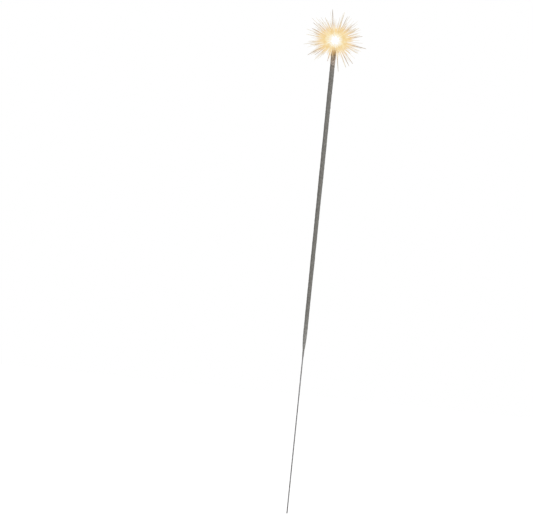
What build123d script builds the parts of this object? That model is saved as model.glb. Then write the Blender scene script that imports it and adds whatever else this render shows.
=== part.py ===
from build123d import *
from math import ceil, cos, pi, radians, sin, sqrt
import os

# A hand sparkler, alight: a steel wire dipped three times in spark paste, burning down from its tip.
# Sizes are in millimetres. The origin is the middle of the wire's lower cut end, and +Z runs up the
# wire from the bare handle to the fire.

# The wire: a bare handle below, and the length that was dipped
wire_diameter = 1.1
handle_length = 143.9
dipped_length = 303.1
cut_end_chamfer = 0.12

# The dips, of which the first starts where the handle ends: how far the later feet start above that, how
# long each foot takes to thin out, the blunt edge it ends in, and the paste's thickness. The final dip is
# thicker at the fire, towards which its wet paste drained
first_dip_taper = 2.0
first_dip_edge = 0.06
first_dip_wall = 0.28

second_dip_start = 12.0
second_dip_taper = 10.0
second_dip_edge = 0.10
second_dip_wall = 0.60

final_dip_start = 6.9
final_dip_taper = 12.2
final_dip_edge = 0.12
final_dip_foot_wall = 0.40
final_dip_fire_wall = 0.72

# The fire: a molten bead round the wire, lapping over the coned end of the paste
burnt_length = 11.4
bead_diameter = 8.0
bead_lap = 0.4
fire_cone_rise = 1.8

# The burnt wire above the bead, in a row of frozen slag drops
slag_drop_pitch = 1.3
slag_wall_at_bead = 0.75
slag_wall_at_tip = 0.40
bare_tip = 0.9

# The sparks: straight four-sided streaks from the bead, thinning to their tips, and which of them in
# each run are long, counted from nought
spark_count = 400
sparks_in_run = 5
first_long_in_run = 2
last_long_in_run = 3
spark_root_width = 0.30
spark_tip_width = 0.12
spark_clearance = 0.25
long_spark_shortest = 11.6
long_spark_longest = 21.0
short_spark_shortest = 5.0
short_spark_longest = 10.0
spark_length_grades = 9
first_spark_turn = 186

# The leading sparks, as the photo shows them from the front: how far each is turned from +X up towards +Z,
# in degrees, and how far its tip is from the bead's middle. They stand a little in front of that view or
# behind it, by up to the depth given, and are sunk in the bead at the root
lead_turns = (
    15, 32, 46, 68, 77, 100, 140, 147, 157, 166, 173,
    189, 197, 213, 222, 256, 282, 297, 305, 313, 350,
)
lead_reaches = (
    26.1, 24.7, 24.3, 25.2, 27.0, 29.3, 22.0, 26.1, 24.3, 21.1, 26.1,
    23.8, 23.6, 28.4, 23.4, 20.6, 28.9, 27.5, 27.0, 27.5, 29.8,
)
lead_depth = 6.0
lead_seat = 0.3

# Radii of the stick, from the wire outwards
wire_radius = wire_diameter / 2
first_radius = wire_radius + first_dip_wall
second_radius = first_radius + second_dip_wall
final_foot_radius = second_radius + final_dip_foot_wall
final_fire_radius = second_radius + final_dip_fire_wall

# Heights above the cut end
wire_length = handle_length + dipped_length
bead_radius = bead_diameter / 2
bead_height = wire_length - burnt_length
coat_end_height = bead_height - sqrt(bead_radius**2 - final_fire_radius**2) + bead_lap

os.makedirs("parts", exist_ok=True)


def fire_cone_height(radius):
    """Height of the coned end that the fire leaves on the paste, at a distance from the wire's axis."""
    return coat_end_height + fire_cone_rise * (1 - radius / final_fire_radius)


def dip_section(foot_height, taper, edge_radius, foot_radius, fire_radius):
    """Half-section of the stick out to one dip: a straight side from the fire's radius down to the foot's, a
    foot that thins in an arc tangent to that side, and the fire's cone on top. X is the radius and Y the
    height."""
    with BuildSketch() as section:
        with BuildLine():
            side = Bezier((fire_radius, fire_cone_height(fire_radius)), (foot_radius, foot_height + taper))
            foot = TangentArc(side @ 1, (edge_radius, foot_height), tangent=side % 1)
            Polyline(foot @ 1, (0, foot_height), (0, fire_cone_height(0)), side @ 0)
        make_face()
    return section.sketch


def half_disc(radius, height):
    """Half-section of a ball on the wire's axis."""
    with BuildSketch() as section:
        with BuildLine():
            edge = CenterArc((0, height), radius, -90, 180)
            Line(edge @ 1, edge @ 0)
        make_face()
    return section.sketch


def wire_section():
    """Half-section of the wire along its whole length."""
    with BuildSketch() as section:
        with Locations((wire_radius / 2, wire_length / 2)):
            Rectangle(wire_radius, wire_length)
    return section.sketch


wire_core = wire_section()
first_dip = dip_section(
    handle_length,
    first_dip_taper,
    wire_radius + first_dip_edge,
    first_radius,
    first_radius,
)
second_dip = dip_section(
    handle_length + second_dip_start,
    second_dip_taper,
    first_radius + second_dip_edge,
    second_radius,
    second_radius,
)
final_dip = dip_section(
    handle_length + final_dip_start,
    final_dip_taper,
    first_radius + final_dip_edge,
    final_foot_radius,
    final_fire_radius,
)
bead_ball = half_disc(bead_radius, bead_height)

# Wire: drawn steel, sheared off at both ends
with BuildPart() as wire:
    Cylinder(wire_radius, wire_length, align=(Align.CENTER, Align.CENTER, Align.MIN))
    chamfer(wire.edges().filter_by(GeomType.CIRCLE), cut_end_chamfer)
wire.part.label = "wire"
export_step(wire.part, "parts/wire.step")

# First dip: a thin primer of paste, which shows below the main coat as a short dark sleeve
with BuildPart() as first_dip_coat:
    with BuildSketch(Plane.XZ):
        add(first_dip)
        add(wire_core, mode=Mode.SUBTRACT)
    revolve(axis=Axis.Z)
first_dip_coat.part.label = "first_dip_coat"
export_step(first_dip_coat.part, "parts/first_dip_coat.step")

# Second dip: the body of the coat, closed in by the last one
with BuildPart() as second_dip_coat:
    with BuildSketch(Plane.XZ):
        add(second_dip)
        add(first_dip, mode=Mode.SUBTRACT)
    revolve(axis=Axis.Z)
second_dip_coat.part.label = "second_dip_coat"
export_step(second_dip_coat.part, "parts/second_dip_coat.step")

# Final dip: the outer coat, with the long thinning foot that the drained paste dries to
with BuildPart() as final_dip_coat:
    with BuildSketch(Plane.XZ):
        add(final_dip)
        add(second_dip, mode=Mode.SUBTRACT)
        add(first_dip, mode=Mode.SUBTRACT)
    revolve(axis=Axis.Z)
final_dip_coat.part.label = "final_dip_coat"
export_step(final_dip_coat.part, "parts/final_dip_coat.step")

# Burning bead: molten slag and paste, strung on the wire and seated on the coned end of the coats
with BuildPart() as burning_bead:
    with BuildSketch(Plane.XZ):
        add(bead_ball)
        add(final_dip, mode=Mode.SUBTRACT)
        add(wire_core, mode=Mode.SUBTRACT)
    revolve(axis=Axis.Z)
burning_bead.part.label = "burning_bead"
export_step(burning_bead.part, "parts/burning_bead.step")

# Slag crust: drops that froze on the wire behind the fire, smaller towards the tip
crust_start = bead_height + bead_radius
crust_length = wire_length - bare_tip - crust_start
slag_drops = ceil(crust_length / slag_drop_pitch)
with BuildPart() as slag_crust:
    with BuildSketch(Plane.XZ):
        for drop in range(slag_drops):
            share = (drop + 0.5) / slag_drops
            drop_wall = slag_wall_at_bead + share * (slag_wall_at_tip - slag_wall_at_bead)
            add(half_disc(wire_radius + drop_wall, crust_start + share * crust_length))
        add(bead_ball, mode=Mode.SUBTRACT)
        add(wire_core, mode=Mode.SUBTRACT)
    revolve(axis=Axis.Z)
slag_crust.part.label = "slag_crust"
export_step(slag_crust.part, "parts/slag_crust.step")

# Sparks leave the bead evenly all round, along a spiral that turns by the golden angle from one to the
# next, and keep clear of the coat below and the crust above
golden_angle = pi * (3 - sqrt(5))
bead_middle = Vector(0, 0, bead_height)
spark_room = spark_root_width / sqrt(2) + spark_clearance
rise_at_crust = sqrt(1 - ((wire_radius + slag_wall_at_bead + spark_room) / bead_radius) ** 2)
rise_at_coat = -sqrt(1 - ((final_fire_radius + spark_room) / bead_radius) ** 2)
tip_inset = (spark_root_width - spark_tip_width) / 2
grade_start = 0.65
grade_stride = 0.5698402910


def spark_direction(index):
    """Direction from the bead's middle to a spark's root."""
    rise = rise_at_crust + (rise_at_coat - rise_at_crust) * (index + 0.5) / spark_count
    turn = radians(first_spark_turn) + index * golden_angle
    return Vector(sqrt(1 - rise**2) * cos(turn), sqrt(1 - rise**2) * sin(turn), rise)


def spark_plane(index):
    """Plane at a spark's root, touching the bead and facing straight out of it."""
    return Plane(bead_middle + spark_direction(index) * bead_radius, z_dir=spark_direction(index))


def spark_grade(index):
    """Which of the lengths a spark has: the grades follow each other in an even, unrepeating order."""
    return int((grade_start + index * grade_stride) % 1 * spark_length_grades)


def streak(length):
    """One spark, standing on its root and thinning to its tip."""
    Wedge(
        spark_root_width,
        length,
        spark_root_width,
        tip_inset,
        tip_inset,
        spark_root_width - tip_inset,
        spark_root_width - tip_inset,
        rotation=(90, 0, 0),
        align=(Align.CENTER, Align.MIN, Align.CENTER),
    )


def add_sparks(indexes, shortest, longest):
    """Streaks at the roots given, with the lengths of the grades evenly spaced between two limits."""
    for grade in sorted({spark_grade(index) for index in indexes}):
        with Locations(*[spark_plane(index) for index in indexes if spark_grade(index) == grade]):
            streak(shortest + (longest - shortest) * grade / (spark_length_grades - 1))


def is_long(index):
    """Whether a spark is one of the long ones of its run."""
    return first_long_in_run <= index % sparks_in_run <= last_long_in_run


def lead_tip(lead):
    """Tip of a leading spark, as seen from the bead's middle."""
    turn = radians(lead_turns[lead])
    depth = lead_depth * cos(lead * golden_angle)
    return Vector(lead_reaches[lead] * cos(turn), depth, lead_reaches[lead] * sin(turn))


def nearest_spark(indexes, tip):
    """The spark among those given whose root lies nearest to the line to a tip."""
    return min(indexes, key=lambda index: spark_direction(index).get_angle(tip))


# Leading sparks: each takes over the nearest free root of the spiral and runs from there to its own tip
lead_ones = {}
for lead in range(len(lead_turns)):
    free_ones = [index for index in range(spark_count) if index not in lead_ones]
    lead_ones[nearest_spark(free_ones, lead_tip(lead))] = lead_tip(lead)
with BuildPart() as leading_sparks:
    for index, tip in lead_ones.items():
        root = spark_direction(index) * (bead_radius - lead_seat)
        with Locations(Plane(bead_middle + root, z_dir=tip - root)):
            streak((tip - root).length)
    with Locations(bead_middle):
        Sphere(bead_radius, mode=Mode.SUBTRACT)

# Long sparks: the thin streaks that stand out of the glow, with the leading ones among them
with BuildPart() as long_sparks:
    long_ones = [index for index in range(spark_count) if is_long(index) and index not in lead_ones]
    add_sparks(long_ones, long_spark_shortest, long_spark_longest)
    add(leading_sparks.part)
long_sparks.part.label = "long_sparks"
export_step(long_sparks.part, "parts/long_sparks.step")

# Short sparks: the close burst round the bead
with BuildPart() as short_sparks:
    short_ones = [index for index in range(spark_count) if not is_long(index) and index not in lead_ones]
    add_sparks(short_ones, short_spark_shortest, short_spark_longest)
short_sparks.part.label = "short_sparks"
export_step(short_sparks.part, "parts/short_sparks.step")
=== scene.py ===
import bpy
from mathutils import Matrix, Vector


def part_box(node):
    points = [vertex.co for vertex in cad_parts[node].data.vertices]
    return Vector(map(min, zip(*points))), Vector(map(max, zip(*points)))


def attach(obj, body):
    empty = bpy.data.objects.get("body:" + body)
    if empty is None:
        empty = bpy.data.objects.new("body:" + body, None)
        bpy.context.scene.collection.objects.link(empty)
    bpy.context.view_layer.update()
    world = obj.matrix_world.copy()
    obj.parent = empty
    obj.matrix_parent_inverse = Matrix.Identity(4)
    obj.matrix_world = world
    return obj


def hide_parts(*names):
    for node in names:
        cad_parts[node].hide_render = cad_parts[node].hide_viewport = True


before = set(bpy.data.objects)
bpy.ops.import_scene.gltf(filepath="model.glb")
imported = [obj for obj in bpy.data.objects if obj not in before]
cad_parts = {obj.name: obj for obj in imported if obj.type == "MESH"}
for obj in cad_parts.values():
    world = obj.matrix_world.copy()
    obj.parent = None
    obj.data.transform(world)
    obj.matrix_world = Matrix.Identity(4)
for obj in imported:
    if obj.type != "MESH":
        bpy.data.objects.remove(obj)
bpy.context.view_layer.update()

import math

import bpy
import numpy as np

# Wire
# One length of drawn mild steel, a little over a millimetre thick, cropped with shears at both ends.
# Below it is the bare handle, and above it runs on inside the paste, through the fire and past it.
wire_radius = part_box("wire")[1].x
wire_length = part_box("wire")[1].z
glowing_length = 0.020
shear_rounding = 0.00014
shear_slant = 0.00007
shear_pinch = 0.08
shear_reach = 0.0004


def full_turn(sides):
    """Equal steps of one whole turn, as a row of angles."""
    return np.linspace(0, 2 * np.pi, sides, endpoint=False)[None, :]


def unrolled_waves(turn, height, radius, depth, seed, waves, shortest, longest):
    """Uneven relief on a round stick: a sum of waves over its unrolled side. Each wave has a length drawn
    between two limits, a whole number of crests round the stick so that it meets itself, and a phase of its
    own. The sum is scaled so that its usual size is the depth."""
    draw = np.random.default_rng(seed)
    lengths = shortest * (longest / shortest) ** draw.random(waves)
    slants = 2 * np.pi * draw.random(waves)
    crests = np.round(2 * np.pi * radius / lengths * np.cos(slants))
    steps = 2 * np.pi / lengths * np.sin(slants)
    phases = 2 * np.pi * draw.random(waves)
    total = np.zeros(np.broadcast(turn, height).shape)
    for crest, step, phase in zip(crests, steps, phases):
        total += np.cos(crest * turn + step * height + phase)
    return depth * (total * math.sqrt(2 / waves))


def round_rings(radius, turn, height):
    """Rings of points about the Z axis: each point at its radius times the cosine and sine of its turn, and
    at its height."""
    return np.stack(np.broadcast_arrays(radius * np.cos(turn), radius * np.sin(turn), height), axis=-1)


def ring_mesh(name, rings):
    """Closed surface over a stack of rings with as many points each: quads join every ring to the next one,
    and a fan closes each end at the middle of its ring."""
    ring_count, around = rings.shape[:2]
    corner = np.arange(ring_count * around).reshape(ring_count, around)
    turned = np.roll(corner, -1, axis=1)
    quads = np.stack([corner[:-1], turned[:-1], turned[1:], corner[1:]], axis=-1)
    low_middle = np.full(around, ring_count * around)
    low_fan = np.stack([turned[0], corner[0], low_middle], axis=-1)
    high_fan = np.stack([corner[-1], turned[-1], low_middle + 1], axis=-1)
    points = np.vstack([rings.reshape(-1, 3), rings[0].mean(0), rings[-1].mean(0)])
    faces = quads.reshape(-1, 4).tolist() + low_fan.tolist() + high_fan.tolist()
    mesh = bpy.data.meshes.new(name)
    mesh.from_pydata(points.tolist(), [], faces)
    mesh.shade_smooth()
    piece = bpy.data.objects.new(name, mesh)
    bpy.context.scene.collection.objects.link(piece)
    return piece


def join(tree, value, socket):
    """Give an input its value: a link if the value is another node's socket, else the plain value."""
    if isinstance(value, bpy.types.NodeSocket):
        tree.links.new(value, socket)
    else:
        socket.default_value = value


def add_node(tree, kind, inputs=None, **settings):
    """A shader node with its settings, and with each named input set to a value or linked to a socket."""
    made = tree.nodes.new(kind)
    for key, value in settings.items():
        setattr(made, key, value)
    for key, value in (inputs or {}).items():
        join(tree, value, made.inputs[key])
    return made


def finish_named(name):
    """A new material with its Principled shader: the node tree, the shader and the Object coordinates."""
    material = bpy.data.materials.new(name)
    material.use_nodes = True
    tree = material.node_tree
    shader = tree.nodes["Principled BSDF"]
    place = add_node(tree, "ShaderNodeTexCoord").outputs["Object"]
    return material, tree, shader, place


def paint(red, green, blue):
    """The linear colour of a display colour given from 0 to 255."""
    shares = np.array([red, green, blue]) / 255
    linear = np.where(shares <= 0.04045, shares / 12.92, ((shares + 0.055) / 1.055) ** 2.4)
    return (*linear.tolist(), 1.0)


black = paint(0, 0, 0)
white = paint(255, 255, 255)


def ramp(tree, factor, *stops):
    """Colours in order along a factor from 0 to 1, each stop a position and a colour."""
    made = add_node(tree, "ShaderNodeValToRGB", {"Fac": factor})
    points = made.color_ramp.elements
    while len(points) < len(stops):
        points.new(0.5)
    for point, (position, colour) in zip(points, stops):
        point.position = position
        point.color = colour
    return made.outputs["Color"]


def mixed(tree, share, under, over, blend="MIX"):
    """One colour laid over another by a share from 0 to 1. A Mix node has sockets of the same names for
    numbers and colours, so the colour ones are found by their type."""
    made = add_node(tree, "ShaderNodeMix", {"Factor": share}, data_type="RGBA", blend_type=blend)
    colour_inputs = [socket for socket in made.inputs if socket.type == "RGBA"]
    join(tree, under, colour_inputs[0])
    join(tree, over, colour_inputs[1])
    return next(socket for socket in made.outputs if socket.type == "RGBA")


def noise(tree, place, scale, detail, **more):
    """Outputs of a noise texture, with a scale in features per metre."""
    settings = {"Vector": place, "Scale": scale, "Detail": detail, **more}
    return add_node(tree, "ShaderNodeTexNoise", settings).outputs


def between(tree, value, low, high, start=0.0, end=1.0, easing="LINEAR"):
    """A value carried from the range low to high onto the range start to end, and held at its ends."""
    limits = {"Value": value, "From Min": low, "From Max": high, "To Min": start, "To Max": end}
    return add_node(tree, "ShaderNodeMapRange", limits, interpolation_type=easing).outputs["Result"]


def height_of(tree, place):
    """Height of the shaded point above the wire's cut end."""
    return add_node(tree, "ShaderNodeSeparateXYZ", {"Vector": place}).outputs["Z"]


def roughen(tree, shader, height, strength, distance):
    """Bumps on a finish, from a height that varies over it and their depth in metres."""
    bumps = add_node(tree, "ShaderNodeBump", {"Height": height, "Strength": strength, "Distance": distance})
    tree.links.new(bumps.outputs["Normal"], shader.inputs["Normal"])


def give_light(tree, shader, colour, strength=1.0):
    """Let a finish give light of a colour by itself."""
    tree.links.new(colour, shader.inputs["Emission Color"])
    shader.inputs["Emission Strength"].default_value = strength


def drawn_steel():
    """Dull drawn steel: fine lines along the wire, a thin uneven tarnish, and darker specks of scale. The
    upper end, in the fire, glows."""
    material, tree, shader, place = finish_named("drawn_steel")
    along = add_node(tree, "ShaderNodeMapping", {"Vector": place, "Scale": (1, 1, 0.02)}).outputs["Vector"]
    lines = noise(tree, along, 9000, 4)["Fac"]
    tarnish = noise(tree, place, 260, 5, Roughness=0.6)["Fac"]
    specks = between(tree, noise(tree, place, 2400, 2)["Fac"], 0.64, 0.72, 0, 0.7)
    bright = ramp(tree, lines, (0.30, paint(94, 94, 95)), (0.72, paint(152, 152, 154)))
    dulling = ramp(tree, tarnish, (0.38, paint(190, 184, 176)), (0.62, white))
    dulled = mixed(tree, 1.0, bright, dulling, "MULTIPLY")
    tree.links.new(mixed(tree, specks, dulled, paint(70, 66, 62)), shader.inputs["Base Color"])
    tree.links.new(between(tree, tarnish, 0.3, 0.7, 0.52, 0.36), shader.inputs["Roughness"])
    roughen(tree, shader, lines, 0.25, 0.00002)
    shader.inputs["Metallic"].default_value = 0.9
    heat = between(tree, height_of(tree, place), wire_length - glowing_length, wire_length)
    glow = ramp(
        tree,
        heat,
        (0.10, black),
        (0.30, paint(255, 240, 200)),
        (0.85, paint(253, 226, 160)),
        (1.00, paint(244, 208, 140)),
    )
    give_light(tree, shader, glow)
    return material


end_steps = shear_rounding * np.array([0.0, 0.1, 0.3, 0.6, 1.0])
end_shrink = shear_rounding * np.array([1.0, 0.56, 0.28, 0.08, 0.0])
wire_rise = np.linspace(shear_rounding, wire_length - shear_rounding, 180)[1:-1]
wire_height = np.concatenate([end_steps, wire_rise, wire_length - end_steps[::-1]])[:, None]
wire_inset = np.concatenate([end_shrink, np.zeros(len(wire_rise)), end_shrink[::-1]])[:, None]
wire_turn = full_turn(28)
die_marks = unrolled_waves(
    wire_turn, wire_height, wire_radius, depth=0.000003, seed=3, waves=24, shortest=0.0004, longest=0.003
)
near_end = np.exp(-wire_height / shear_reach)
slanted_height = wire_height + shear_slant * near_end * (1 + np.cos(wire_turn))
wire_rings = round_rings(wire_radius - wire_inset + die_marks, wire_turn, slanted_height)
wire_rings[..., 1] *= 1 - shear_pinch * near_end
wire = ring_mesh("steel_wire", wire_rings)
wire.data.materials.append(drawn_steel())
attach(wire, "root")
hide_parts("wire")

# First dip
# A thin primer of the same paste, dried on the wire before the main dips. It shows below the main coat as
# a short thin sleeve with an uneven lower edge.
sleeve_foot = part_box("first_dip_coat")[0].z
sleeve_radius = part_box("first_dip_coat")[1].x
coat_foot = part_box("final_dip_coat")[0].z
sleeve_lap = 0.003
edge_film = 0.00002
film_steepness = 6
relief_steepness = 8


def reckon(tree, operation, *values):
    """Result of one Math node on values or sockets, given in the order that the node takes them."""
    return add_node(tree, "ShaderNodeMath", dict(enumerate(values)), operation=operation).outputs["Value"]


def tugged(tree, place, pull, reach):
    """Coordinates moved by a noise's colour times a reach, so that a pattern that reads them bends."""
    moved = add_node(tree, "ShaderNodeVectorMath", {0: pull, "Scale": reach}, operation="SCALE")
    added = {0: place, 1: moved.outputs["Vector"]}
    return add_node(tree, "ShaderNodeVectorMath", added, operation="ADD").outputs["Vector"]


def paste_grain():
    """Shader group for dried spark paste: a cloudy and gritty shade, bright flecks of metal filings, dark
    pits between the grains, and the grain's height."""
    group = bpy.data.node_groups.new("paste_grain", "ShaderNodeTree")
    group.interface.new_socket("Place", in_out="INPUT", socket_type="NodeSocketVector")
    for name in ("Clouds", "Grains"):
        group.interface.new_socket(name, in_out="INPUT", socket_type="NodeSocketFloat")
    for name in ("Shade", "Flecks", "Pits", "Height"):
        group.interface.new_socket(name, in_out="OUTPUT", socket_type="NodeSocketFloat")
    given = add_node(group, "NodeGroupInput").outputs
    cloud = noise(group, given["Place"], given["Clouds"], 6, Roughness=0.7)["Fac"]
    grit = noise(group, given["Place"], given["Grains"], 4, Roughness=0.75, Distortion=0.6)
    bent = tugged(group, given["Place"], grit["Color"], 0.00042)
    filings = add_node(group, "ShaderNodeTexVoronoi", {"Vector": bent, "Scale": given["Grains"]}).outputs
    chance = add_node(group, "ShaderNodeSeparateColor", {"Color": filings["Color"]}).outputs
    size = between(group, chance["Green"], 0, 1, 0.16, 0.44)
    core = between(group, filings["Distance"], size, 0.05)
    fleck = reckon(group, "MULTIPLY", between(group, chance["Red"], 0.72, 1.0), core)
    pit = reckon(group, "MULTIPLY", between(group, chance["Red"], 0.30, 0.0), core)
    shade = reckon(group, "MULTIPLY_ADD", grit["Fac"], 1.1, cloud)
    raised = reckon(group, "MULTIPLY_ADD", fleck, 0.5, grit["Fac"])
    outcome = {
        "Shade": between(group, shade, 0.72, 1.38),
        "Flecks": fleck,
        "Pits": pit,
        "Height": reckon(group, "MULTIPLY_ADD", pit, -0.5, raised),
    }
    add_node(group, "NodeGroupOutput", outcome)
    return group


grain_group = paste_grain()


def dried_paste(name, dark, light, cloud_scale, grain_scale):
    """Matte dried paste between two greys, with its grain, pits and flecks. Returns the material, its tree
    and shader, the Object coordinates, and the mixed colour that goes to the shader."""
    material, tree, shader, place = finish_named(name)
    scales = {"Place": place, "Clouds": cloud_scale, "Grains": grain_scale}
    grain = add_node(tree, "ShaderNodeGroup", scales, node_tree=grain_group).outputs
    body = ramp(tree, grain["Shade"], (0.10, dark), (0.90, light))
    pitted = mixed(tree, grain["Pits"], body, paint(46, 44, 42))
    flecked = mixed(tree, grain["Flecks"], pitted, paint(208, 206, 202))
    tree.links.new(flecked, shader.inputs["Base Color"])
    tree.links.new(grain["Flecks"], shader.inputs["Metallic"])
    tree.links.new(between(tree, grain["Flecks"], 0, 1, 0.88, 0.34), shader.inputs["Roughness"])
    roughen(tree, shader, grain["Height"], 0.8, 0.00022)
    shader.inputs["Specular IOR Level"].default_value = 0.25
    return material, tree, shader, place, flecked


sleeve_top = coat_foot + sleeve_lap
sleeve_height = np.linspace(sleeve_foot, sleeve_top, 60)[:, None]
sleeve_turn = full_turn(40)
sleeve_share = (sleeve_height - sleeve_foot) / (sleeve_top - sleeve_foot)
film_growth = (1 - np.exp(-film_steepness * sleeve_share)) / (1 - math.exp(-film_steepness))
sleeve_film = (sleeve_radius - wire_radius) * film_growth
sleeve_relief = unrolled_waves(
    sleeve_turn,
    sleeve_height,
    sleeve_radius,
    depth=0.000022,
    seed=5,
    waves=40,
    shortest=0.0005,
    longest=0.004,
)
relief_growth = np.minimum(1, relief_steepness * sleeve_share)
sleeve_side = wire_radius + edge_film + sleeve_film + sleeve_relief * relief_growth
ragged_edge = unrolled_waves(
    sleeve_turn,
    0 * sleeve_height,
    sleeve_radius,
    depth=0.0005,
    seed=6,
    waves=9,
    shortest=0.0008,
    longest=0.004,
)
ragged_height = sleeve_height + ragged_edge * (1 - sleeve_share) ** 3
sleeve = ring_mesh("primer_sleeve", round_rings(sleeve_side, sleeve_turn, ragged_height))
primer_paste = dried_paste("primer_paste", paint(104, 101, 98), paint(152, 150, 147), 900, 3600)[0]
sleeve.data.materials.append(primer_paste)
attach(sleeve, "root")
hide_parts("first_dip_coat")

# Second dip
# The thick dip that gives the coat its body. The final dip closes it in on all sides, so the solid stays as
# it is and only takes the paste's finish.
second_dip_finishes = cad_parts["second_dip_coat"].data.materials
second_dip_finishes.clear()
second_dip_finishes.append(dried_paste("core_paste", paint(88, 85, 82), paint(128, 126, 122), 700, 3000)[0])

# Final dip
# The outer coat of grey paste, hung tip down to dry, so that it thickens towards the fire and thins to a
# long foot above the handle. Its side is matte and grainy, browned and cracked where the fire comes near.
coat_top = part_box("final_dip_coat")[1].z
fire_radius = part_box("final_dip_coat")[1].x
fire_cone = 0.0018
cone_edge = coat_top - 0.0006
crumble_reach = 0.009
foot_taper = 0.0220
foot_radius = fire_radius - 0.00032
foot_edge = sleeve_radius + 0.00005
foot_relief = 0.25
palest_height = coat_foot + 0.0092
paling_height = coat_foot + 0.0352
warm_height = cone_edge - 0.02663
hottest_height = cone_edge + 0.00437
heat_wander = 0.006


def coat_side(height):
    """Radius of the coat at a height: straight from the fire's radius down to the foot's, then along a
    cubic that leaves that line without a corner and ends at the foot's edge."""
    above = np.clip((height - coat_foot - foot_taper) / (cone_edge - coat_foot - foot_taper), 0, 1)
    below = np.clip((coat_foot + foot_taper - height) / foot_taper, 0, 1)
    return foot_radius + (fire_radius - foot_radius) * above - (foot_radius - foot_edge) * below**3


foot_rise = np.linspace(coat_foot, coat_foot + foot_taper, 110)
side_rise = np.linspace(coat_foot + foot_taper, cone_edge, 1220)[1:]
coat_height = np.concatenate([foot_rise, side_rise])[:, None]
coat_turn = full_turn(56)
sags = unrolled_waves(
    coat_turn, coat_height, fire_radius, depth=0.000035, seed=11, waves=40, shortest=0.012, longest=0.06
)
lumps = unrolled_waves(
    coat_turn, coat_height, fire_radius, depth=0.000030, seed=12, waves=60, shortest=0.0018, longest=0.007
)
grains = unrolled_waves(
    coat_turn, coat_height, fire_radius, depth=0.000032, seed=13, waves=70, shortest=0.0006, longest=0.0013
)
crumbs = unrolled_waves(
    coat_turn, coat_height, fire_radius, depth=0.00008, seed=14, waves=40, shortest=0.0009, longest=0.003
)
foot_drips = unrolled_waves(
    coat_turn, 0 * coat_height, foot_radius, depth=0.0002, seed=15, waves=8, shortest=0.002, longest=0.011
)
foot_share = np.clip((coat_height - coat_foot) / foot_taper, 0, 1)
relief = (sags + lumps + grains) * (foot_relief + (1 - foot_relief) * foot_share)
fire_crumble = np.clip((coat_height - cone_edge + crumble_reach) / crumble_reach, 0, 1) ** 2
coat_radius = coat_side(coat_height) + relief + crumbs * fire_crumble
coat_rings = round_rings(coat_radius, coat_turn, coat_height + foot_drips * (1 - foot_share) ** 2)
cone_top = round_rings(wire_radius, coat_turn, cone_edge + fire_cone)
cone_share = np.linspace(0, 1, 9)[1:, None, None]
cone_rings = coat_rings[-1:] + (cone_top - coat_rings[-1:]) * cone_share
coat = ring_mesh("paste_coat", np.concatenate([coat_rings, cone_rings]))


def fired_paste():
    """The coat's paste: paler towards the foot, and near the fire a pale cracked ring, then brown, then
    gold where the heat makes it glow."""
    material, tree, shader, place, colour = dried_paste(
        "spark_paste", paint(88, 86, 82), paint(140, 138, 133), 620, 2600
    )
    height = height_of(tree, place)
    paling = between(tree, height, paling_height, palest_height, easing="SMOOTHSTEP")
    paled = mixed(tree, paling, colour, (1.42, 1.44, 1.46, 1), "MULTIPLY")
    wander = noise(tree, place, 420, 4)
    uneven_height = reckon(tree, "MULTIPLY_ADD", wander["Fac"], heat_wander, height)
    heat = between(tree, uneven_height, warm_height, hottest_height)
    heat_colour = ramp(
        tree,
        heat,
        (0.05, paint(118, 114, 110)),
        (0.23, paint(140, 132, 125)),
        (0.285, paint(122, 113, 105)),
        (0.34, paint(168, 156, 146)),
        (0.42, paint(186, 170, 156)),
        (0.51, paint(146, 126, 109)),
        (0.60, paint(128, 109, 89)),
        (0.68, paint(145, 120, 78)),
        (0.80, paint(132, 106, 52)),
    )
    flakes = add_node(
        tree,
        "ShaderNodeTexVoronoi",
        {"Vector": tugged(tree, place, wander["Color"], 0.0026), "Scale": 760},
        feature="DISTANCE_TO_EDGE",
    )
    opened = noise(tree, place, 800, 2)["Fac"]
    frayed = reckon(tree, "MULTIPLY_ADD", opened, 0.36, flakes.outputs["Distance"])
    cracks = ramp(tree, frayed, (0.17, paint(92, 80, 72)), (0.25, white))
    crack_band = ramp(tree, heat, (0.20, black), (0.30, white), (0.50, white), (0.60, black))
    cracked = mixed(tree, crack_band, heat_colour, cracks, "MULTIPLY")
    heated = between(tree, heat, 0.04, 0.22, 0, 0.85, "SMOOTHSTEP")
    tree.links.new(mixed(tree, heated, paled, cracked), shader.inputs["Base Color"])
    glow = ramp(
        tree,
        heat,
        (0.58, black),
        (0.68, paint(100, 70, 36)),
        (0.77, paint(156, 110, 42)),
        (0.88, paint(222, 170, 84)),
        (0.96, paint(252, 228, 168)),
    )
    give_light(tree, shader, glow)
    return material


coat.data.materials.append(fired_paste())
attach(coat, "root")
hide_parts("final_dip_coat")

# Burning bead
# Paste and iron melted by the fire into one white-hot ball round the wire, seated on the coned end of the
# coat. It boils, so its skin is lumpy.
bead_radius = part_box("burning_bead")[1].x
bead_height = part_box("burning_bead")[1].z - math.sqrt(bead_radius**2 - wire_radius**2)
seat_share = 0.5
bore_share = 0.14
bead_polar = np.linspace(math.pi - math.asin(seat_share), math.asin(bore_share), 56)[:, None]
bead_turn = full_turn(72)
boil = unrolled_waves(
    bead_turn,
    bead_radius * bead_polar,
    bead_radius,
    depth=0.028,
    seed=21,
    waves=40,
    shortest=0.002,
    longest=0.006,
)
bead_skin = bead_radius * (1 + boil * np.sin(bead_polar))
bead_rings = round_rings(
    bead_skin * np.sin(bead_polar), bead_turn, bead_height + bead_skin * np.cos(bead_polar)
)
bead = ring_mesh("molten_bead", bead_rings)


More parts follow.
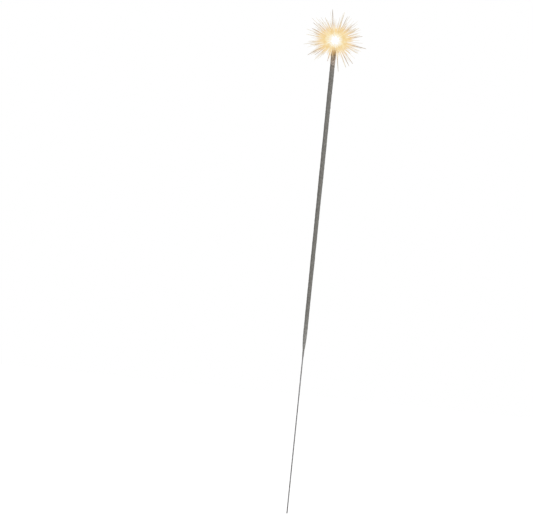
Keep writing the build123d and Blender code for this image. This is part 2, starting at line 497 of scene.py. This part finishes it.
def white_heat():
    """Molten slag at white heat: it gives its own light, a shade yellower in patches."""
    material, tree, shader, place = finish_named("white_heat")
    swirl = noise(tree, place, 900, 3)["Fac"]
    light = ramp(tree, swirl, (0.25, paint(255, 246, 220)), (0.50, paint(255, 254, 250)))
    give_light(tree, shader, light, 2.0)
    tree.links.new(light, shader.inputs["Base Color"])
    shader.inputs["Roughness"].default_value = 0.4
    shader.inputs["Specular IOR Level"].default_value = 0.0
    return material


bead.data.materials.append(white_heat())
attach(bead, "root")
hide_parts("burning_bead")

# Slag crust
# Drops of slag that froze one above the other on the wire behind the fire, smaller towards its tip. They
# still glow, from pale yellow at the bead to gold.
crust_low, crust_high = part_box("slag_crust")
crust_lap = 0.0004
drop_count = 5
drop_roundness = 0.6
lowest_wall = 0.00072
highest_wall = 0.00040
neck_share = 0.45
tip_steepness = 8
crust_height = np.linspace(crust_low.z - crust_lap, crust_high.z, 90)[:, None]
crust_turn = full_turn(36)
crust_share = np.clip((crust_height - crust_low.z) / (crust_high.z - crust_low.z), 0, 1)
drop_swell = np.abs(np.sin(math.pi * drop_count * crust_share)) ** drop_roundness
drop_wall = lowest_wall + (highest_wall - lowest_wall) * crust_share
crust_wall = drop_wall * (neck_share + (1 - neck_share) * drop_swell)
crust_relief = unrolled_waves(
    crust_turn, crust_height, crust_high.x, depth=0.00007, seed=31, waves=40, shortest=0.0008, longest=0.003
)
tip_close = np.sqrt(np.clip((1 - crust_share) * tip_steepness, 0, 1))
crust_side = wire_radius + (crust_wall + crust_relief) * tip_close
crust = ring_mesh("frozen_slag", round_rings(crust_side, crust_turn, crust_height))


def glowing_slag():
    """Freezing slag: pale yellow by the bead and a deeper gold further up, with patches of both."""
    material, tree, shader, place = finish_named("glowing_slag")
    patches = noise(tree, place, 1100, 4)["Fac"]
    cooling = between(tree, height_of(tree, place), bead_height + bead_radius, crust_high.z, 0, 0.8)
    warmth = reckon(tree, "MULTIPLY_ADD", patches, 0.35, cooling)
    light = ramp(
        tree,
        warmth,
        (0.10, paint(255, 244, 208)),
        (0.40, paint(254, 232, 172)),
        (0.75, paint(252, 220, 148)),
        (1.00, paint(240, 204, 136)),
    )
    give_light(tree, shader, light)
    roughen(tree, shader, patches, 0.5, 0.0001)
    shader.inputs["Base Color"].default_value = paint(60, 48, 38)
    shader.inputs["Roughness"].default_value = 0.7
    return material


crust.data.materials.append(glowing_slag())
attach(crust, "root")
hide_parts("slag_crust")

# Long sparks
# Grains of burning steel thrown off the bead. Each draws one thin straight streak, golden in the glow and
# ash brown where it cools, and slims to nothing at its tip.
spark_count = 400
spark_turn = math.radians(186)
golden_angle = math.pi * (3 - math.sqrt(5))
spark_root_width = 0.00030
spark_gap = 0.00025
spark_room = spark_root_width / math.sqrt(2) + spark_gap
crust_swell = 0.00075
crust_clear = math.sqrt(1 - ((wire_radius + crust_swell + spark_room) / bead_radius) ** 2)
coat_clear = -math.sqrt(1 - ((fire_radius + spark_room) / bead_radius) ** 2)
length_grades = 9
first_grade = 0.65
grade_step = 0.5698402910
slim_from = 0.60
slim_over = 0.25
slim_share = 0.5
streak_reach = 0.030
core_drop = 0.0005
core_spread = (0.91, 0.75, 1.07)
patch_spread = (1, 0.3, 1)


def spiral_directions(index, count):
    """Even directions round the bead: the rise falls in equal steps from the crust's limit to the coat's,
    and each direction is turned by the golden angle from the one before."""
    rise = crust_clear + (coat_clear - crust_clear) * (index + 0.5) / count
    turn = spark_turn + index * golden_angle
    flat = np.sqrt(1 - rise**2)
    return np.stack([flat * np.cos(turn), flat * np.sin(turn), rise], axis=-1)


def graded_lengths(index, shortest, longest):
    """Lengths in equal grades. The grade is the fraction left of the index times a step that never comes
    round to the same place, cut into whole grades."""
    grade = np.floor((first_grade + index * grade_step) % 1 * length_grades)
    return shortest + (longest - shortest) * grade / (length_grades - 1)


def slimmed(ways):
    """Share of its full girth that a streak keeps: all of it round the burst's rim, and half of it where it
    flies out along Y, so that the fire shows between the streaks."""
    return 1 - slim_share * np.clip((np.abs(ways[:, 1]) - slim_from) / slim_over, 0, 1)


def drawn_between(draw, low, high, shape):
    """Numbers drawn evenly between two limits."""
    return low + (high - low) * draw.random(shape)


def spindles(name, roots, tips, girths, stations, swell, sides, tints):
    """One closed spindle for each root and tip: rings at the stations along the line between them, each of
    the given number of sides, with a radius of the spindle's girth times the swell at that station. A fan
    closes each end on the root or the tip itself. The tint is kept on the points for the finish to read."""
    count = len(roots)
    along = tips - roots
    ahead = along / np.linalg.norm(along, axis=1, keepdims=True)
    helper = np.where(np.abs(ahead[:, 2:]) > 0.9, [[1.0, 0.0, 0.0]], [[0.0, 0.0, 1.0]])
    across = np.cross(ahead, helper)
    across /= np.linalg.norm(across, axis=1, keepdims=True)
    upward = np.cross(ahead, across)
    angle = np.linspace(0, 2 * np.pi, sides, endpoint=False)
    spoke = across[:, None] * np.cos(angle)[:, None] + upward[:, None] * np.sin(angle)[:, None]
    centre = roots[:, None] + along[:, None] * stations[:, None]
    rings = centre[:, :, None] + spoke[:, None] * (girths[:, None] * swell)[:, :, None, None]
    ring_points = len(stations) * sides
    points = np.concatenate([rings.reshape(count, ring_points, 3), roots[:, None], tips[:, None]], axis=1)
    corner = np.arange(ring_points).reshape(len(stations), sides)
    turned = np.roll(corner, -1, axis=1)
    quads = np.stack([corner[:-1], turned[:-1], turned[1:], corner[1:]], axis=-1).reshape(-1, 4)
    root_fan = np.stack([turned[0], corner[0], np.full(sides, ring_points)], axis=-1)
    tip_fan = np.stack([corner[-1], turned[-1], np.full(sides, ring_points + 1)], axis=-1)
    offset = np.arange(count)[:, None, None] * (ring_points + 2)
    faces = (offset + quads).reshape(-1, 4).tolist()
    faces += (offset + root_fan).reshape(-1, 3).tolist()
    faces += (offset + tip_fan).reshape(-1, 3).tolist()
    mesh = bpy.data.meshes.new(name)
    mesh.from_pydata(points.reshape(-1, 3).tolist(), [], faces)
    mesh.shade_smooth()
    tint = mesh.attributes.new("tint", "FLOAT", "POINT")
    tint.data.foreach_set("value", np.repeat(tints, ring_points + 2).astype(np.float32))
    piece = bpy.data.objects.new(name, mesh)
    bpy.context.scene.collection.objects.link(piece)
    return piece


def burning_streak(name, warm_stops, cool_stops, patch_share):
    """Light of a streak by its distance from the fire's core, a little below the bead's middle, with each
    axis scaled by the core's spread. The spark's own tint and drifting patches, drawn out along Y, choose
    between a warmer and a cooler run of colours. It gives its own light and takes none."""
    material, tree, shader, place = finish_named(name)
    core_place = (0, 0, -core_spread[2] * (bead_height - core_drop))
    from_core = add_node(
        tree, "ShaderNodeMapping", {"Vector": place, "Location": core_place, "Scale": core_spread}
    )
    distance = add_node(tree, "ShaderNodeVectorMath", {0: from_core.outputs["Vector"]}, operation="LENGTH")
    share = reckon(tree, "DIVIDE", distance.outputs["Value"], streak_reach)
    tint = add_node(tree, "ShaderNodeAttribute", attribute_name="tint").outputs["Fac"]
    drawn_out = add_node(tree, "ShaderNodeMapping", {"Vector": place, "Scale": patch_spread})
    drift = noise(tree, drawn_out.outputs["Vector"], 330, 2)["Fac"]
    patches = between(tree, drift, 0.45, 0.56)
    choice = add_node(tree, "ShaderNodeMix", {"Factor": patch_share, "A": tint, "B": patches})
    warm = ramp(tree, share, *warm_stops)
    cool = ramp(tree, share, *cool_stops)
    give_light(tree, shader, mixed(tree, choice.outputs["Result"], warm, cool))
    shader.inputs["Base Color"].default_value = black
    shader.inputs["Specular IOR Level"].default_value = 0.0
    shader.inputs["Roughness"].default_value = 1.0
    return material


bead_middle = np.array([0, 0, bead_height])
root_seat = 0.97 * bead_radius
long_shortest = 0.0116
long_longest = 0.0210
long_thinnest = 0.00010
long_thickening = 0.00022
lead_sway = 0.006
broad_lead = 0.00045
faint_count = 190
faint_offset = 0.37
index = np.arange(spark_count)
is_long = (index % 5 == 2) | (index % 5 == 3)
all_ways = spiral_directions(index, spark_count)
lead_bearing = np.radians(
    [15, 32, 46, 68, 77, 100, 140, 147, 157, 166, 173, 189, 197, 213, 222, 256, 282, 297, 305, 313, 350]
)
lead_reach = 0.001 * np.array(
    [26.1, 24.7, 24.3, 25.2, 27.0, 29.3, 22.0, 26.1, 24.3, 21.1, 26.1]
    + [23.8, 23.6, 28.4, 23.4, 20.6, 28.9, 27.5, 27.0, 27.5, 29.8]
)
lead_girth = 0.000011 * np.array(
    [32, 46, 28, 28, 42, 38, 26, 32, 34, 26, 30, 30, 46, 38, 30, 30, 32, 46, 34, 32, 36]
)
lead_tint = np.where(lead_girth > broad_lead, 0.95, 0.12)
lead_depth = lead_sway * np.cos(np.arange(len(lead_reach)) * golden_angle)
lead_tip = np.stack(
    [lead_reach * np.cos(lead_bearing), lead_depth, lead_reach * np.sin(lead_bearing)], axis=-1
)
is_lead = np.zeros(spark_count, dtype=bool)
lead_root = np.zeros_like(lead_tip)
for lead, tip in enumerate(lead_tip):
    nearest = np.argmax(np.where(is_lead, -2, all_ways @ tip / np.linalg.norm(tip)))
    is_lead[nearest] = True
    lead_root[lead] = all_ways[nearest] * root_seat
long_index = index[is_long & ~is_lead]
long_way = all_ways[long_index]
long_reach = bead_radius + graded_lengths(long_index, long_shortest, long_longest)[:, None]
long_draw = np.random.default_rng(41)
long_tint = drawn_between(long_draw, 0.4, 1.0, len(long_index))
long_girth = (long_thinnest + long_thickening * long_tint**2) * slimmed(long_way)
faint_way = spiral_directions(np.arange(faint_count) + faint_offset, faint_count)
faint_reach = bead_radius + drawn_between(long_draw, 0.012, 0.027, (faint_count, 1))
faint_girth = drawn_between(long_draw, 0.00013, 0.00026, faint_count) * slimmed(faint_way)
faint_tint = drawn_between(long_draw, 0.85, 1.0, faint_count)
long_sparks = spindles(
    "long_streaks",
    bead_middle + np.concatenate([long_way * root_seat, lead_root, faint_way * root_seat]),
    bead_middle + np.concatenate([long_way * long_reach, lead_tip, faint_way * faint_reach]),
    np.concatenate([long_girth, lead_girth, faint_girth]),
    stations=np.array([0.02, 0.25, 0.55, 0.82, 0.97]),
    swell=np.array([0.5, 0.9, 1.0, 0.85, 0.5]),
    sides=5,
    tints=np.concatenate([long_tint, lead_tint, faint_tint]),
)
ash_warm = (
    (0.172, paint(255, 255, 252)),
    (0.205, paint(255, 246, 216)),
    (0.27, paint(248, 216, 152)),
    (0.42, paint(238, 198, 132)),
    (0.52, paint(211, 172, 130)),
    (0.64, paint(182, 155, 129)),
    (1.00, paint(164, 150, 134)),
)
ash_pale = (
    (0.172, paint(255, 255, 252)),
    (0.205, paint(255, 250, 230)),
    (0.27, paint(250, 226, 170)),
    (0.42, paint(250, 226, 178)),
    (0.52, paint(246, 226, 190)),
    (0.64, paint(240, 226, 198)),
    (1.00, paint(240, 231, 210)),
)
long_sparks.data.materials.append(burning_streak("cooling_streak", ash_warm, ash_pale, patch_share=0.30))
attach(long_sparks, "root")
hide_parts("long_sparks")

# Short sparks
# The close burst round the bead: shorter streaks of the same burning steel, still golden at their tips,
# that fill the spiral between the long ones.
short_shortest = 0.0050
short_longest = 0.0100
short_index = index[~is_long & ~is_lead]
short_way = all_ways[short_index]
short_reach = bead_radius + graded_lengths(short_index, short_shortest, short_longest)[:, None]
short_draw = np.random.default_rng(42)
short_girth = drawn_between(short_draw, 0.00013, 0.00020, len(short_index)) * slimmed(short_way)
short_sparks = spindles(
    "short_streaks",
    bead_middle + short_way * root_seat,
    bead_middle + short_way * short_reach,
    short_girth,
    stations=np.array([0.02, 0.3, 0.7, 0.94]),
    swell=np.array([0.7, 1.0, 0.9, 0.45]),
    sides=4,
    tints=short_draw.random(len(short_index)),
)
gold_warm = (
    (0.172, paint(255, 255, 252)),
    (0.205, paint(255, 248, 226)),
    (0.26, paint(238, 206, 142)),
    (0.33, paint(233, 194, 128)),
    (0.46, paint(230, 186, 120)),
    (0.60, paint(228, 192, 142)),
)
gold_pale = (
    (0.172, paint(255, 255, 252)),
    (0.205, paint(255, 252, 240)),
    (0.26, paint(255, 245, 212)),
    (0.33, paint(255, 243, 206)),
    (0.46, paint(254, 240, 202)),
    (0.60, paint(249, 235, 204)),
)
golden_spark = burning_streak("golden_spark", gold_warm, gold_pale, patch_share=0.8)
short_sparks.data.materials.append(golden_spark)
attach(short_sparks, "root")
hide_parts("short_sparks")

# Fine sparks
# The smallest grains: about two thousand hair-thin streaks close round the bead, which make the golden
# glow, and a skirt of slightly thicker ones that falls beside the top of the coat.
fine_count = 2000
fine_top = 0.94
fine_bottom = -0.83
fine_scatter = 0.03
fine_shortest = 0.0022
fine_range = 0.0108
fine_bias = 1.2
shorten_from = 0.66
shorten_over = 0.2
shorten_share = 0.85
skirt_count = 84
skirt_root_radius = 0.0024
skirt_root_drop = 0.0029
skirt_least_drop = 0.0080
skirt_drop_range = 0.0130
skirt_bias = 2.2
skirt_girth = 0.00004
fine_index = np.arange(fine_count)
fine_draw = np.random.default_rng(43)
fine_rise = fine_top + (fine_bottom - fine_top) * (fine_index + 0.5) / fine_count
fine_turn = fine_index * golden_angle
fine_flat = np.sqrt(1 - fine_rise**2)
fine_way = np.stack([fine_flat * np.cos(fine_turn), fine_flat * np.sin(fine_turn), fine_rise], axis=-1)
fine_way += fine_scatter * fine_draw.standard_normal((fine_count, 3))
fine_way /= np.linalg.norm(fine_way, axis=1, keepdims=True)
fine_length = fine_shortest + fine_range * fine_draw.random((fine_count, 1)) ** fine_bias
fine_length *= 1 - shorten_share * np.clip((np.abs(fine_way[:, 1:2]) - shorten_from) / shorten_over, 0, 1)
skirt_turn = np.arange(skirt_count) * golden_angle
skirt_side = np.stack([np.cos(skirt_turn), np.sin(skirt_turn), 0 * skirt_turn], axis=-1)
skirt_fall = -skirt_least_drop - skirt_drop_range * fine_draw.random(skirt_count) ** skirt_bias
skirt_drop = np.stack([0 * skirt_turn, 0 * skirt_turn, skirt_fall], axis=-1)
skirt_spread = drawn_between(fine_draw, 0.0030, 0.0060, (skirt_count, 1))
skirt_root = skirt_side * skirt_root_radius - np.array([0, 0, skirt_root_drop])
skirt_tip = skirt_side * skirt_spread + skirt_drop
all_fine = fine_count + skirt_count
in_skirt = np.arange(all_fine) >= fine_count
fine_girth = drawn_between(fine_draw, 0.00006, 0.00010, all_fine) + skirt_girth * in_skirt
fine_sparks = spindles(
    "fine_sparks",
    bead_middle + np.concatenate([fine_way * root_seat, skirt_root]),
    bead_middle + np.concatenate([fine_way * (bead_radius + fine_length), skirt_tip]),
    fine_girth,
    stations=np.array([0.03, 0.6]),
    swell=np.array([1.0, 0.8]),
    sides=3,
    tints=fine_draw.random(all_fine),
)
fine_sparks.data.materials.append(golden_spark)
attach(fine_sparks, "root")

# Floor, light and camera
# A pale floor a few centimetres below the handle, an even white studio round it, one large soft lamp from
# the front, above and a little to the right, and a long lens that sees the stick leaning to the right.
floor_drop = -0.06
floor_reach = 4.0
board_lift = 0.62
studio_light = 0.52
lamp_share = 0.53
lamp_size = 0.9
floor_sides = [(-1, -1), (1, -1), (1, 1), (-1, 1)]
floor_corners = [(floor_reach * x, floor_reach * y, floor_drop) for x, y in floor_sides]
floor_mesh = bpy.data.meshes.new("pale_floor")
floor_mesh.from_pydata(floor_corners, [], [(0, 1, 2, 3)])
floor = bpy.data.objects.new("pale_floor", floor_mesh)
bpy.context.scene.collection.objects.link(floor)


def seen_directly(tree):
    """1 for rays from the camera, a reflection or glass, and 0 for rays that only carry light."""
    path = add_node(tree, "ShaderNodeLightPath").outputs
    mirrored = reckon(tree, "MAXIMUM", path["Is Camera Ray"], path["Is Glossy Ray"])
    return reckon(tree, "MAXIMUM", mirrored, path["Is Transmission Ray"])


def pale_board():
    """White board that keeps the shadows on it, and is lifted to the studio's white where it is seen."""
    material, tree, shader, place = finish_named("pale_board")
    mottle = noise(tree, place, 6, 3)["Fac"]
    board = ramp(tree, mottle, (0.3, (0.80, 0.80, 0.80, 1)), (0.7, (0.84, 0.84, 0.84, 1)))
    tree.links.new(board, shader.inputs["Base Color"])
    lift = reckon(tree, "MULTIPLY", seen_directly(tree), board_lift)
    tree.links.new(lift, shader.inputs["Emission Strength"])
    shader.inputs["Emission Color"].default_value = white
    shader.inputs["Roughness"].default_value = 1.0
    shader.inputs["Specular IOR Level"].default_value = 0.0
    return material


floor_mesh.materials.append(pale_board())

studio = bpy.data.worlds.new("studio")
studio.use_nodes = True
studio_tree = studio.node_tree
white_room = studio_tree.nodes["Background"]
white_room.inputs["Color"].default_value = white
room_strength = between(studio_tree, seen_directly(studio_tree), 0, 1, studio_light, 1.0)
studio_tree.links.new(room_strength, white_room.inputs["Strength"])
bpy.context.scene.world = studio

lamp_place = np.array([0.5, -1.5, 0.75])
lamp_way = np.array([0, 0, wire_length / 2]) - lamp_place
lamp_distance = float(np.linalg.norm(lamp_way))
lamp_data = bpy.data.lights.new("soft_lamp", "AREA")
lamp_data.shape = "DISK"
lamp_data.size = lamp_size
# At this power a white surface that faces the lamp shows lamp_share of full white.
lamp_data.energy = lamp_share * math.pi**2 * lamp_distance**2
lamp = bpy.data.objects.new("soft_lamp", lamp_data)
lamp.location = lamp_place
lamp_pan = math.atan2(lamp_way[1], lamp_way[0]) - math.pi / 2
lamp.rotation_euler = (math.acos(-lamp_way[2] / lamp_distance), 0, lamp_pan)
bpy.context.scene.collection.objects.link(lamp)

picture_width = 533
picture_height = 532
cut_end_pixel = (286.9, 513.5)
fire_pixel = (335.0, 40.4)
lean_right = fire_pixel[0] - cut_end_pixel[0]
lean_up = cut_end_pixel[1] - fire_pixel[1]
pixel = bead_height / math.hypot(lean_right, lean_up)
lean = math.atan2(lean_right, lean_up)
camera_data = bpy.data.cameras.new("camera")
camera_data.lens = 200
camera_data.sensor_width = 36
camera_data.clip_end = 50
camera = bpy.data.objects.new("camera", camera_data)
camera_distance = picture_width * pixel * camera_data.lens / camera_data.sensor_width
right = np.array([math.cos(lean), 0, math.sin(lean)])
up = np.array([-math.sin(lean), 0, math.cos(lean)])
centre = (picture_width / 2 - cut_end_pixel[0]) * pixel * right
centre = centre + (cut_end_pixel[1] - picture_height / 2) * pixel * up
camera.location = centre - np.array([0, camera_distance, 0])
camera.rotation_euler = (math.pi / 2, -lean, 0)
bpy.context.scene.collection.objects.link(camera)
bpy.context.scene.camera = camera
bpy.context.scene.view_settings.view_transform = "Standard"
